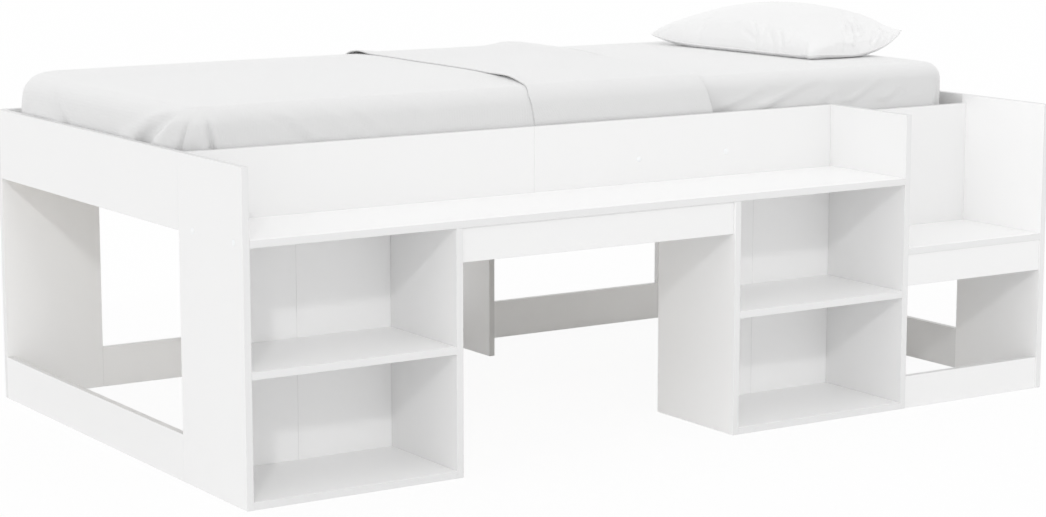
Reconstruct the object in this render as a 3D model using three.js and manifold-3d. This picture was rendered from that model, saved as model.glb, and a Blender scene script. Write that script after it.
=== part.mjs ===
// Cabin bed with a low desk, two bookcases and a step along one long side.
//
// Millimetres, +Z up. The bed stands on the plane Z = 0 with its desk side towards -Y and the
// foot of the bed towards -X. The origin is the centre of the footprint. Boards are laid out
// from the left front corner, and the whole group is then moved onto the origin.

import * as THREE from 'three';
import { mergeGeometries, mergeVertices } from 'three/addons/utils/BufferGeometryUtils.js';
import Module from 'manifold-3d';

const wasm = await Module();
wasm.setup();

// Boards and bays, along X. The knee space takes what length the other bays leave.
const BOARD = 15;
const BOOKCASE_WIDTH = 454;
const STEP_WIDTH = 397;
const LEG_WIDTH = 235;

// Depths, along Y
const FRONT_DEPTH = 275;
const SUPPORT_DEPTH = 191;
const DESK_APRON_SETBACK = 6;
const STEP_APRON_SETBACK = 2;

// Heights, along Z
const HEIGHT = 660;
const RAIL_HEIGHT = 155;
const END_LOW_RAIL_HEIGHT = 96;
const BACK_LOW_RAIL_HEIGHT = 93;
const BACK_GUARD_HEIGHT = 235;
const DESK_APRON_HEIGHT = 70;
const STEP_TOP = 363;
const STEP_APRON_HEIGHT = 70;
const STEP_LOW_RAIL_HEIGHT = 73;
const STEP_GUARD_DROP = 20;

// Bed base
const CLEAT_DEPTH = 25;
const CLEAT_HEIGHT = 28;
const SLAT_COUNT = 13;
const SLAT_WIDTH = 90;
const SLAT_THICKNESS = 15;
const SLAT_END_CLEARANCE = 2;
const SLAT_ROW_CLEARANCE = 6;

// Screw cover caps
const CAP_RADIUS = 6.5;
const CAP_HEIGHT = 1;
const CAP_SEGMENTS = 24;
const CAP_FRONT_INSET = 37;
const CAP_SPACING = 175;
const GUARD_CAP_SPACING = 237;
const GUARD_CAP_FROM_DIVIDER = 298;
const GUARD_CAP_DROP = 87;

// Mattress, rounded at its upright corners and its edges, with a crown and drawn-in sides. Its
// length and width set those of the bed.
const SOFT_CLEARANCE = 0.3;
const MATTRESS_LENGTH = 1982;
const MATTRESS_WIDTH = 890;
const MATTRESS_HEIGHT = 190;
const MATTRESS_HEAD_GAP = 27;
const BEDDING_FOOT_CLEARANCE = 9.7;
const BEDDING_SIDE_CLEARANCE = 1.7;
const MATTRESS_CORNER = 42;
const MATTRESS_EDGE = 36;
const MATTRESS_CROWN = 5;
const MATTRESS_WAIST = 2;

// Fitted sheet, with stretch folds in its sides towards the head end
const SHEET_THICKNESS = 1.2;
const SHEET_SKIRT_LIFT = 30;
const SHEET_FOLD = { depth: 3, pitch: 150, reach: 260 };

// Blanket, gathered at the foot corners and turned back over itself
const BLANKET_THICKNESS = 4.5;
const BLANKET_SKIRT_LIFT = 50;
const BLANKET_FOLD = { depth: 7, pitch: 62, reach: 90 };
const TURN_DOWN_EDGE = 1269;
const TURN_DOWN_WIDTH = 447;
const HEM_SLANT = THREE.MathUtils.degToRad(-3.2);
const HEM_LIFT = { along: 36, across: 75, height: 5, fromSide: 120 };

// Pillow
const PILLOW_DEPTH = 275;
const PILLOW_WIDTH = 605;
const PILLOW_THICKNESS = 118;
const PILLOW_SEAM_HEIGHT = 30;
const PILLOW_HEAD_RISE = 21;
const PILLOW_WALL_RISE = 8;
const PILLOW_HEAD_GAP = 23;
const PILLOW_TURN = THREE.MathUtils.degToRad(4.4);
const PILLOW_DRAW_IN = 0.05;
const PILLOW_FULLNESS = 0.42;
const PILLOW_FLATTENING = 1.4;
const PILLOW_STEPS = [14, 22];

// Steps round the outline of a soft block, and round its edges
const SIDE_STEPS = { long: 16, short: 11, corner: 4 };
const EDGE_STEPS = 3;
const CROWN_STEPS = 2;

// Each layer of the bedding, as its distance from the mattress
const sheetInside = SOFT_CLEARANCE;
const sheetOutside = sheetInside + SHEET_THICKNESS;
const blanketInside = sheetOutside + SOFT_CLEARANCE;
const blanketOutside = blanketInside + BLANKET_THICKNESS;
const turnDownOutside = blanketOutside + BLANKET_THICKNESS;

// Faces along X, from the left end to the right end
const leftEndFace = BOARD;
const mattressFoot = leftEndFace + BEDDING_FOOT_CLEARANCE + blanketOutside;
const mattressHead = mattressFoot + MATTRESS_LENGTH;
const rightEndFace = mattressHead + MATTRESS_HEAD_GAP;
const length = rightEndFace + BOARD;
const leftSideFace = leftEndFace + BOOKCASE_WIDTH;
const kneeLeftFace = leftSideFace + BOARD;
const stepLeftFace = rightEndFace - STEP_WIDTH;
const dividerFace = stepLeftFace - BOARD;
const rightCellFace = dividerFace - BOOKCASE_WIDTH;
const kneeRightFace = rightCellFace - BOARD;

// Faces along Y, from the front to the back
const guardFace = FRONT_DEPTH - BOARD;
const mattressFront = FRONT_DEPTH + BEDDING_SIDE_CLEARANCE + turnDownOutside;
const mattressBack = mattressFront + MATTRESS_WIDTH;
const backFace = mattressBack + turnDownOutside + BEDDING_SIDE_CLEARANCE;
const depth = backFace + BOARD;

// Levels along Z
const railLevel = HEIGHT - RAIL_HEIGHT;
const deskLevel = railLevel + BOARD;
const cleatTop = railLevel + CLEAT_HEIGHT;
const slatTop = cleatTop + SLAT_THICKNESS;
const stepUnderside = STEP_TOP - BOARD;
const shelfUnderside = railLevel / 2;

const bed = new THREE.Group();
bed.position.set(-length / 2, -depth / 2, 0);

function addPiece(name, geometry, colour, roughness) {
  const material = new THREE.MeshStandardMaterial({ color: colour, roughness, metalness: 0 });
  const mesh = new THREE.Mesh(geometry, material);
  mesh.name = name;
  bed.add(mesh);
  return mesh;
}

// A board fills the box between its [from, to] pairs along X, Y and Z.
function addBoard(name, alongX, alongY, alongZ, colour = 0xf4f4f2) {
  const spans = [alongX, alongY, alongZ];
  const size = spans.map(([from, to]) => to - from);
  const centre = spans.map(([from, to]) => (from + to) / 2);
  const mesh = addPiece(name, new THREE.BoxGeometry(...size), colour, 0.42);
  mesh.position.set(...centre);
}

// The two ends: a full-height front upright, a top rail and a bottom rail
function addEnd(side, outerFace) {
  const thickness = [outerFace, outerFace + BOARD];
  const alongBed = [FRONT_DEPTH, backFace];
  addBoard(`${side}_front_upright`, thickness, [0, FRONT_DEPTH], [0, HEIGHT]);
  addBoard(`${side}_top_rail`, thickness, alongBed, [railLevel, HEIGHT]);
  addBoard(`${side}_bottom_rail`, thickness, alongBed, [0, END_LOW_RAIL_HEIGHT]);
}

// The wall side: two leg boards, a high and a low board between them, and a support panel
function addBack() {
  const thickness = [backFace, depth];
  const betweenLegs = [LEG_WIDTH, length - LEG_WIDTH];
  addBoard('back_left_leg', [0, LEG_WIDTH], thickness, [0, HEIGHT]);
  addBoard('back_right_leg', [length - LEG_WIDTH, length], thickness, [0, HEIGHT]);
  addBoard('back_guard', betweenLegs, thickness, [HEIGHT - BACK_GUARD_HEIGHT, HEIGHT]);
  addBoard('back_bottom_rail', betweenLegs, thickness, [0, BACK_LOW_RAIL_HEIGHT]);
  const supportSpan = [rightCellFace, rightCellFace + BOARD];
  addBoard('centre_support', supportSpan, [backFace - SUPPORT_DEPTH, backFace], [0, railLevel]);
}

// The guard above the desk is two equal boards, and a lower board closes the step's back.
function addGuards() {
  const thickness = [guardFace, FRONT_DEPTH];
  const seam = (leftEndFace + dividerFace) / 2;
  addBoard('guard_left', [leftEndFace, seam], thickness, [railLevel, HEIGHT]);
  addBoard('guard_right', [seam, dividerFace], thickness, [railLevel, HEIGHT]);
  const stepGuardSpan = [stepUnderside, HEIGHT - STEP_GUARD_DROP];
  addBoard('step_guard', [stepLeftFace, rightEndFace], thickness, stepGuardSpan);
}

function addDesk() {
  addBoard('desk_top', [leftEndFace, dividerFace], [0, guardFace], [railLevel, deskLevel]);
  const apronDepth = [DESK_APRON_SETBACK, DESK_APRON_SETBACK + BOARD];
  const apronHeight = [railLevel - DESK_APRON_HEIGHT, railLevel];
  addBoard('desk_apron', [kneeLeftFace, kneeRightFace], apronDepth, apronHeight);
}

// A bookcase has a bottom board and a middle shelf. Its back is a leg board and a narrower one.
function addBookcase(side, from) {
  const to = from + BOOKCASE_WIDTH;
  const seam = from + LEG_WIDTH;
  const inside = [from, to];
  const backDepth = [guardFace, FRONT_DEPTH];
  addBoard(`${side}_bookcase_bottom`, inside, [0, guardFace], [0, BOARD]);
  addBoard(`${side}_bookcase_shelf`, inside, [0, guardFace], [shelfUnderside, shelfUnderside + BOARD]);
  addBoard(`${side}_bookcase_leg_board`, [from, seam], backDepth, [0, railLevel]);
  addBoard(`${side}_bookcase_back`, [seam, to], backDepth, [0, railLevel]);
}

function addBookcases() {
  addBookcase('left', leftEndFace);
  addBoard('left_bookcase_side', [leftSideFace, kneeLeftFace], [0, FRONT_DEPTH], [0, railLevel]);
  addBookcase('right', rightCellFace);
  addBoard('right_bookcase_side', [kneeRightFace, rightCellFace], [0, FRONT_DEPTH], [0, railLevel]);
  addBoard('divider', [dividerFace, stepLeftFace], [0, FRONT_DEPTH], [0, HEIGHT]);
}

function addStep() {
  const across = [stepLeftFace, rightEndFace];
  const frontDepth = [STEP_APRON_SETBACK, STEP_APRON_SETBACK + BOARD];
  addBoard('step_platform', across, [0, guardFace], [stepUnderside, STEP_TOP]);
  addBoard('step_apron', across, frontDepth, [stepUnderside - STEP_APRON_HEIGHT, stepUnderside]);
  addBoard('step_bottom_rail', across, frontDepth, [0, STEP_LOW_RAIL_HEIGHT]);
}

// Cleats run along both long sides in two lengths, and the slats lie across them.
function addBedBase() {
  const pine = 0xd9b98a;
  const middle = (leftEndFace + rightEndFace) / 2;
  const rows = {
    front: [FRONT_DEPTH, FRONT_DEPTH + CLEAT_DEPTH],
    back: [backFace - CLEAT_DEPTH, backFace],
  };
  for (const [row, span] of Object.entries(rows)) {
    addBoard(`${row}_cleat_left`, [leftEndFace, middle], span, [railLevel, cleatTop], pine);
    addBoard(`${row}_cleat_right`, [middle, rightEndFace], span, [railLevel, cleatTop], pine);
  }
  const firstSlat = leftEndFace + SLAT_ROW_CLEARANCE;
  const lastSlat = rightEndFace - SLAT_ROW_CLEARANCE - SLAT_WIDTH;
  const pitch = (lastSlat - firstSlat) / (SLAT_COUNT - 1);
  const slatSpan = [FRONT_DEPTH + SLAT_END_CLEARANCE, backFace - SLAT_END_CLEARANCE];
  for (let i = 0; i < SLAT_COUNT; i++) {
    const start = firstSlat + i * pitch;
    const number = String(i + 1).padStart(2, '0');
    addBoard(`slat_${number}`, [start, start + SLAT_WIDTH], slatSpan, [cleatTop, slatTop], pine);
  }
}

// A cap lies flat on the face that its outward direction points away from.
function addCap(name, centre, outward) {
  const disc = new THREE.CylinderGeometry(CAP_RADIUS, CAP_RADIUS, CAP_HEIGHT, CAP_SEGMENTS);
  const cap = addPiece(name, disc, 0xfbfbfa, 0.35);
  const direction = new THREE.Vector3(...outward);
  cap.quaternion.setFromUnitVectors(new THREE.Vector3(0, 1, 0), direction);
  cap.position.set(...centre).addScaledVector(direction, CAP_HEIGHT / 2);
}

// The caps cover the screws that hold the desk top, the step platform and the right guard.
function addCaps() {
  const deskScrews = (railLevel + deskLevel) / 2;
  const stepScrews = (stepUnderside + STEP_TOP) / 2;
  const insets = { front: CAP_FRONT_INSET, back: CAP_FRONT_INSET + CAP_SPACING };
  for (const [place, inset] of Object.entries(insets)) {
    addCap(`left_cap_${place}`, [0, inset, deskScrews], [-1, 0, 0]);
    addCap(`right_cap_${place}`, [length, inset, stepScrews], [1, 0, 0]);
  }
  const lastCap = dividerFace - GUARD_CAP_FROM_DIVIDER;
  const capLevel = HEIGHT - GUARD_CAP_DROP;
  addCap('guard_cap_left', [lastCap - GUARD_CAP_SPACING, guardFace, capLevel], [0, -1, 0]);
  addCap('guard_cap_right', [lastCap, guardFace, capLevel], [0, -1, 0]);
}

// Straight sides take smaller steps near their ends, where the cloth folds.
function easeToEnds(t) {
  const pull = 0.85;
  return t - (pull * Math.sin(2 * Math.PI * t)) / (2 * Math.PI);
}

// Points round a rectangle with rounded corners. Each has its outward direction, and its
// distance from the nearest corner along a straight side.
function roundedRing(halfX, halfY, radius) {
  const signs = [[1, -1], [1, 1], [-1, 1], [-1, -1]];
  const corners = signs.map(([signX, signY], index) => {
    const centre = new THREE.Vector2(signX * (halfX - radius), signY * (halfY - radius));
    const arc = [];
    for (let i = 0; i <= SIDE_STEPS.corner; i++) {
      const angle = (Math.PI / 2) * (index - 1 + i / SIDE_STEPS.corner);
      const outward = new THREE.Vector2(Math.cos(angle), Math.sin(angle));
      arc.push({ place: centre.clone().addScaledVector(outward, radius), outward, fromCorner: 0 });
    }
    return arc;
  });
  return corners.flatMap((arc, index) => {
    const start = arc.at(-1);
    const end = corners[(index + 1) % corners.length][0];
    const side = start.place.distanceTo(end.place);
    const steps = index % 2 === 0 ? SIDE_STEPS.short : SIDE_STEPS.long;
    const straight = [];
    for (let i = 1; i < steps; i++) {
      const t = easeToEnds(i / steps);
      const place = start.place.clone().lerp(end.place, t);
      const fromCorner = side * Math.min(t, 1 - t);
      straight.push({ place, outward: start.outward, fromCorner });
    }
    return [...arc, ...straight];
  });
}

// The mattress from its underside to its crown, as levels with an inset from the outline.
// Grown by a distance, every face lies that much further out.
function mattressLevels(grow) {
  const radius = MATTRESS_EDGE + grow;
  const sideTop = MATTRESS_HEIGHT - MATTRESS_CROWN;
  const arc = (centre, from) => {
    const levels = [];
    for (let i = 0; i <= EDGE_STEPS; i++) {
      const angle = from + (Math.PI / 2) * (i / EDGE_STEPS);
      const inset = radius * (1 - Math.cos(angle));
      levels.push({ inset, z: centre + radius * Math.sin(angle) });
    }
    return levels;
  };
  const crown = [];
  const crownReach = MATTRESS_WIDTH / 2 - MATTRESS_EDGE;
  for (let i = 1; i <= CROWN_STEPS; i++) {
    const share = i / (CROWN_STEPS + 1);
    const rise = MATTRESS_CROWN * Math.sin((Math.PI / 2) * (i / CROWN_STEPS));
    crown.push({ inset: radius + crownReach * share, z: sideTop + grow + rise });
  }
  const waist = { inset: MATTRESS_WAIST, z: sideTop / 2 };
  const top = arc(sideTop - MATTRESS_EDGE, 0);
  return [...arc(MATTRESS_EDGE, -Math.PI / 2), waist, ...top, ...crown];
}

// A closed block of rings, one per level, with a flat cap at each end. The push moves a point
// of the rings outwards, and is 0 where the cloth lies flat.
function softBlock(grow, push = () => 0) {
  const rings = mattressLevels(grow).map(({ inset, z }) => {
    const halfX = MATTRESS_LENGTH / 2 + grow - inset;
    const halfY = MATTRESS_WIDTH / 2 + grow - inset;
    const radius = Math.max(MATTRESS_CORNER + grow - inset, 2);
    return roundedRing(halfX, halfY, radius).map((point) => {
      const place = point.place.clone().addScaledVector(point.outward, push(point, z));
      return new THREE.Vector3(place.x, place.y, z);
    });
  });
  const count = rings[0].length;
  const faces = [];
  for (let level = 0; level < rings.length - 1; level++) {
    for (let i = 0; i < count; i++) {
      const a = level * count + i;
      const b = level * count + ((i + 1) % count);
      faces.push(a, b, b + count, a, b + count, a + count);
    }
  }
  const cap = (level, flip) => {
    const outline = rings[level].map(({ x, y }) => new THREE.Vector2(x, y));
    for (const [a, b, c] of THREE.ShapeUtils.triangulateShape(outline, [])) {
      const face = flip ? [c, b, a] : [a, b, c];
      faces.push(...face.map((i) => i + level * count));
    }
  };
  cap(0, true);
  cap(rings.length - 1, false);
  const geometry = new THREE.BufferGeometry().setFromPoints(rings.flat());
  geometry.setIndex(faces);
  return geometry;
}

function toSolid(source) {
  const bare = source.clone();
  bare.deleteAttribute('normal');
  bare.deleteAttribute('uv');
  const merged = mergeVertices(bare);
  const vertProperties = new Float32Array(merged.attributes.position.array);
  const triVerts = new Uint32Array(merged.index.array);
  return new wasm.Manifold(new wasm.Mesh({ numProp: 3, vertProperties, triVerts }));
}

function toGeometry(solid) {
  const { vertProperties, triVerts } = solid.getMesh();
  const geometry = new THREE.BufferGeometry();
  geometry.setAttribute('position', new THREE.BufferAttribute(vertProperties, 3));
  geometry.setIndex(new THREE.BufferAttribute(triVerts, 1));
  geometry.computeVertexNormals();
  return geometry;
}

// A box that reaches past the bedding in Y and upwards, turned about Z at its first corner
function keepBox(fromX, toX, bottom, slant = 0) {
  const size = [toX - fromX, 2 * MATTRESS_WIDTH, 2 * MATTRESS_HEIGHT];
  const box = new THREE.BoxGeometry(...size);
  box.translate(size[0] / 2, 0, bottom + size[2] / 2);
  box.rotateZ(slant);
  box.translate(fromX, 0, 0);
  return toSolid(box);
}

// Folds fade in above the rails, fade out over the top edge, and die away from the corner.
function foldPush(fold, point, z) {
  const railTop = HEIGHT - slatTop;
  const edgeStart = MATTRESS_HEIGHT - MATTRESS_CROWN;
  const rise = THREE.MathUtils.smoothstep(z, railTop, railTop + MATTRESS_EDGE / 2);
  const fall = 1 - THREE.MathUtils.smoothstep(z, edgeStart, edgeStart + fold.depth);
  const wave = (1 + Math.cos((2 * Math.PI * point.fromCorner) / fold.pitch)) / 2;
  return fold.depth * rise * fall * wave * Math.exp(-point.fromCorner / fold.reach);
}

const mattressX = (mattressFoot + mattressHead) / 2;
const mattressY = (mattressFront + mattressBack) / 2;
const mattressBase = slatTop + SOFT_CLEARANCE;

function addBedding(name, geometry, colour) {
  const mesh = addPiece(name, geometry, colour, 0.95);
  mesh.position.set(mattressX, mattressY, mattressBase);
}

function addMattress() {
  addBedding('mattress', softBlock(0), 0xe9e9e7);
}

function addFittedSheet() {
  const push = (point, z) => (point.place.x > 0 ? foldPush(SHEET_FOLD, point, z) : 0);
  const open = keepBox(-MATTRESS_LENGTH, MATTRESS_LENGTH, SHEET_SKIRT_LIFT);
  const shell = toSolid(softBlock(sheetOutside, push)).subtract(toSolid(softBlock(sheetInside)));
  addBedding('fitted_sheet', toGeometry(shell.intersect(open)), 0xebebeb);
}

// The turned-back layer lifts off the blanket near both ends of its hem. A thin lens is the gap
// there, and one that is larger by the cloth's thickness is the cloth above it.
function hemLens(side, hem, thickness) {
  const lens = new THREE.SphereGeometry(1, 14, 8);
  lens.scale(HEM_LIFT.along + thickness, HEM_LIFT.across + thickness, HEM_LIFT.height + thickness);
  const y = side * (MATTRESS_WIDTH / 2 - HEM_LIFT.fromSide);
  lens.translate(hem - y * Math.tan(HEM_SLANT), y, MATTRESS_HEIGHT + blanketOutside);
  return toSolid(lens);
}

function addBlanket() {
  const foot = -MATTRESS_LENGTH / 2;
  const turn = foot + TURN_DOWN_EDGE;
  const hem = turn - TURN_DOWN_WIDTH;
  const push = (point, z) => (point.place.x < 0 ? foldPush(BLANKET_FOLD, point, z) : 0);
  const inside = toSolid(softBlock(blanketInside));
  const beforeTurn = keepBox(-MATTRESS_LENGTH, turn, BLANKET_SKIRT_LIFT);
  const pastHem = keepBox(hem, MATTRESS_LENGTH, BLANKET_SKIRT_LIFT, HEM_SLANT);
  const lower = toSolid(softBlock(blanketOutside, push)).subtract(inside).intersect(beforeTurn);
  let upper = toSolid(softBlock(turnDownOutside));
  for (const side of [-1, 1]) {
    upper = upper.add(hemLens(side, hem, BLANKET_THICKNESS)).subtract(hemLens(side, hem, 0));
  }
  upper = upper.subtract(inside).intersect(beforeTurn).intersect(pastHem);
  addBedding('blanket', toGeometry(upper.add(lower)), 0xe2e2e3);
}

// The pillow's two faces meet in a seam whose sides are drawn in between the four tips. The
// seam rises towards the head end and the wall. The underside is flat where it rests.
function addPillow() {
  const [stepsX, stepsY] = PILLOW_STEPS;
  const face = (isUpper) => {
    const plane = new THREE.PlaneGeometry(2, 2, stepsX, stepsY);
    const { position } = plane.attributes;
    for (let i = 0; i < position.count; i++) {
      const u = position.getX(i);
      const v = position.getY(i);
      const x = (PILLOW_DEPTH / 2) * u * (1 - PILLOW_DRAW_IN * (1 - v * v));
      const y = (PILLOW_WIDTH / 2) * v * (1 - (PILLOW_DRAW_IN / 2) * (1 - u * u));
      const fullness = ((1 - u * u) * (1 - v * v)) ** PILLOW_FULLNESS;
      const seam = PILLOW_SEAM_HEIGHT + PILLOW_HEAD_RISE * u + PILLOW_WALL_RISE * v;
      const upper = seam + (PILLOW_THICKNESS - seam) * fullness;
      const lower = seam * (1 - Math.min(1, fullness * PILLOW_FLATTENING));
      position.setXYZ(i, x, y, isUpper ? upper : lower);
    }
    return plane;
  };
  const upperFace = face(true);
  const lowerFace = face(false);
  lowerFace.index.array.reverse();
  const pillow = toSolid(mergeGeometries([upperFace, lowerFace]));
  const mesh = addPiece('pillow', toGeometry(pillow), 0xf8f8f8, 0.9);
  const centreX = mattressHead - PILLOW_HEAD_GAP - PILLOW_DEPTH / 2;
  mesh.position.set(centreX, mattressY, mattressBase + MATTRESS_HEIGHT + blanketInside);
  mesh.rotation.z = PILLOW_TURN;
}

addEnd('left', 0);
addEnd('right', rightEndFace);
addBack();
addGuards();
addDesk();
addBookcases();
addStep();
addBedBase();
addCaps();
addMattress();
addFittedSheet();
addBlanket();
addPillow();

export default bed;
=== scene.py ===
# %% [markdown]
# A cabin bed for a child's room: white boards make a low bed with a desk, two bookcases and a
# step along one long side. A mattress lies on slats, under a fitted sheet, a blanket that is
# folded back over itself, and a pillow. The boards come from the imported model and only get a
# finish here, because their shape is already right. Everything soft is modelled anew, because
# cloth needs folds, seams and weave that a plain solid lacks.

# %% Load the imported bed
import math

import bmesh
import bpy
import numpy as np
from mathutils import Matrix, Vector


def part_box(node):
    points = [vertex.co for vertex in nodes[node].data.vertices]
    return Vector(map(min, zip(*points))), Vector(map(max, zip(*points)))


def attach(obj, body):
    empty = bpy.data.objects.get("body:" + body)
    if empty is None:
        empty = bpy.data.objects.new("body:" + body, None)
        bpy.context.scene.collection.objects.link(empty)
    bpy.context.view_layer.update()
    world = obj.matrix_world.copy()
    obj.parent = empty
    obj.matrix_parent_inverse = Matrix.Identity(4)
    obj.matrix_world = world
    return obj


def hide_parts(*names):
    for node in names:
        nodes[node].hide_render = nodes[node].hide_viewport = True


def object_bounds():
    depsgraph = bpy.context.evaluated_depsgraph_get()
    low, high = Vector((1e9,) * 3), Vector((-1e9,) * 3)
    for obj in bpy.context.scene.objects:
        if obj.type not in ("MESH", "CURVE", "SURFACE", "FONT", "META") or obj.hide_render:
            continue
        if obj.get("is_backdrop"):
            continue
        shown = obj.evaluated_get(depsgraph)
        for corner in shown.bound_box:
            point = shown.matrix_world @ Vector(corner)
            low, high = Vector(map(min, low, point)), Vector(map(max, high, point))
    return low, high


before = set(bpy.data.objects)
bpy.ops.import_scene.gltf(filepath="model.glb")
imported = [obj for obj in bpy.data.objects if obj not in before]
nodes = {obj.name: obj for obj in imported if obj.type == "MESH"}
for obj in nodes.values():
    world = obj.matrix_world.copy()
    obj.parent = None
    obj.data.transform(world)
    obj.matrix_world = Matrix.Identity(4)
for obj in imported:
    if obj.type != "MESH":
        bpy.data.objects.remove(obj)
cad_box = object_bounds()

BODY = "root"
print("nodes in the bed:", len(nodes))
print("bed, in metres:", [round(b - a, 3) for a, b in zip(*cad_box)])


def add_object(name, data):
    made = bpy.data.objects.new(name, data)
    bpy.context.scene.collection.objects.link(made)
    return made


# %% [markdown]
# The photograph was taken from the foot end, a little above the bedding, with a long lens. The
# camera stands where the corners of the boards fit the picture best. It is tilted down and not
# shifted, so that the bed stays in the middle when the view goes round it.

# %% Camera
CAMERA_PLACE = (-3.2145, -4.9402, 1.2865)
CAMERA_TURN = math.radians(32.95)
CAMERA_TILT = math.radians(9.39)
LENS_MM = 90.1
SENSOR_MM = 36.0

camera = add_object("camera", bpy.data.cameras.new("camera"))
camera.data.lens = LENS_MM
camera.data.sensor_width = SENSOR_MM
camera.location = CAMERA_PLACE
camera.rotation_euler = (math.pi / 2 - CAMERA_TILT, 0, -CAMERA_TURN)
bpy.context.scene.camera = camera
print("camera, metres from the origin:", round(Vector(CAMERA_PLACE).length, 2))

# %% [markdown]
# A material is a small network of nodes. One helper adds a node, sets its options and fills its
# inputs, either with a value or with a wire from another node. A second one starts a material
# with the main shader in place. The materials below then read as short recipes.

# %% Helpers for materials
def add_node(material, kind, inputs=None, **options):
    made = material.node_tree.nodes.new("ShaderNode" + kind)
    for name, value in options.items():
        setattr(made, name, value)
    for name, value in (inputs or {}).items():
        if isinstance(value, bpy.types.NodeSocket):
            material.node_tree.links.new(value, made.inputs[name])
        else:
            made.inputs[name].default_value = value
    return made


def start_material(name, **sockets):
    material = bpy.data.materials.new(name)
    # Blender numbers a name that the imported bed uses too, so the slot's name is kept apart.
    material["slot"] = name
    material.use_nodes = True
    shader = material.node_tree.nodes["Principled BSDF"]
    for socket, value in sockets.items():
        shader.inputs[socket.replace("_", " ")].default_value = value
    return material, shader


def calculate(material, operation, first, second=0.0):
    return add_node(material, "Math", {0: first, 1: second}, operation=operation).outputs[0]


def times(material, first, second):
    return calculate(material, "MULTIPLY", first, second)


def remap(material, value, source=(0.0, 1.0), target=(0.0, 1.0)):
    """The value, carried over from one range to another and held at its ends."""
    inputs = {0: value, 1: source[0], 2: source[1], 3: target[0], 4: target[1]}
    return add_node(material, "MapRange", inputs).outputs[0]


def connect(material, output, shader, socket):
    material.node_tree.links.new(output, shader.inputs[socket])


def grey(level, warmth=0.0):
    return (level + warmth, level, level - warmth, 1.0)


print("a mid grey with a trace of warmth:", grey(0.5, 0.01))

# %% Helpers for patterns
def blend_colours(material, share, first, second):
    inputs = {0: share, 6: first, 7: second}
    return add_node(material, "Mix", inputs, data_type="RGBA").outputs[2]


def object_place(material):
    return add_node(material, "TexCoord").outputs["Object"]


def noise(material, place, scale, detail=2.0):
    inputs = {"Vector": place, "Scale": scale, "Detail": detail, "Roughness": 0.5}
    return add_node(material, "TexNoise", inputs).outputs["Fac"]


def wave(material, run, pitch, shift=0.0):
    """A sine wave along a run, with a pitch in metres and a shift in radians."""
    angle = times(material, run, 2 * math.pi / pitch)
    return calculate(material, "SINE", calculate(material, "ADD", angle, shift))


def emboss(material, shader, height, depth):
    bump = add_node(material, "Bump", {"Height": height, "Distance": depth, "Strength": 1.0})
    connect(material, bump.outputs["Normal"], shader, "Normal")


print("a wave of 4 mm, in radians a metre:", round(2 * math.pi / 0.004))

# %% [markdown]
# The bed stands on a pale floor in soft studio light. Most of it comes evenly from the sky. A
# key light from the front left, a third of the way up, draws the slanting shadows inside the
# shelves. A softer lamp lights their backs, and a wide one lifts the foot end. The camera itself
# sees pure white behind the bed. The floor stays a real surface that shows a soft shadow.

# %% Floor and background
FLOOR_SIZE = 60.0
FLOOR_FINISH = {"Base_Color": grey(0.94), "Roughness": 0.9}
FLOOR_WHITENESS = 0.92
SKY_LEVEL = 0.905


def seen_by_camera(material):
    rays = add_node(material, "LightPath").outputs
    direct = calculate(material, "MAXIMUM", rays["Is Camera Ray"], rays["Is Glossy Ray"])
    return calculate(material, "MAXIMUM", direct, rays["Is Transmission Ray"])


def make_world():
    world = bpy.data.worlds.new("studio")
    world.use_nodes = True
    background = world.node_tree.nodes["Background"]
    background.inputs["Color"].default_value = grey(1.0)
    level = remap(world, seen_by_camera(world), target=(SKY_LEVEL, 1.0))
    connect(world, level, background, "Strength")
    bpy.context.scene.world = world


def make_floor():
    material, shader = start_material("pale_floor", **FLOOR_FINISH)
    glow = add_node(material, "Emission", {"Color": grey(1.0), "Strength": 1.0})
    share = times(material, seen_by_camera(material), FLOOR_WHITENESS)
    mix = add_node(material, "MixShader", {0: share, 1: shader.outputs[0], 2: glow.outputs[0]})
    output = material.node_tree.nodes["Material Output"]
    connect(material, mix.outputs[0], output, "Surface")
    half = FLOOR_SIZE / 2
    corners = [(-half, -half, 0), (half, -half, 0), (half, half, 0), (-half, half, 0)]
    mesh = bpy.data.meshes.new("floor")
    mesh.from_pydata(corners, [], [(0, 1, 2, 3)])
    mesh.materials.append(material)
    add_object("floor", mesh)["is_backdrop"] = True


bpy.context.scene.view_settings.view_transform = "Standard"
make_world()
make_floor()
print("floor, in metres:", FLOOR_SIZE)

# %% Lamps
# Azimuth in degrees from the desk side round to the foot end, height in degrees above the floor
LAMPS = {
    "key_light": {"strength": 0.38, "spread": 3, "azimuth": 35, "height": 29},
    "front_light": {"strength": 0.165, "spread": 14, "azimuth": 8, "height": 33},
    "left_light": {"strength": 0.30, "spread": 60, "azimuth": 78, "height": 12},
}


def make_lamp(name, strength, spread, azimuth, height):
    lamp = add_object(name, bpy.data.lights.new(name, "SUN"))
    lamp.data.energy = strength
    lamp.data.angle = math.radians(spread)
    turn = math.radians(azimuth)
    rise = math.radians(height)
    level = math.cos(rise)
    towards = Vector((-math.sin(turn) * level, -math.cos(turn) * level, math.sin(rise)))
    lamp.rotation_euler = towards.to_track_quat("Z", "Y").to_euler()


for name, lamp in LAMPS.items():
    make_lamp(name, **lamp)
print("lamps:", list(LAMPS))
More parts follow.
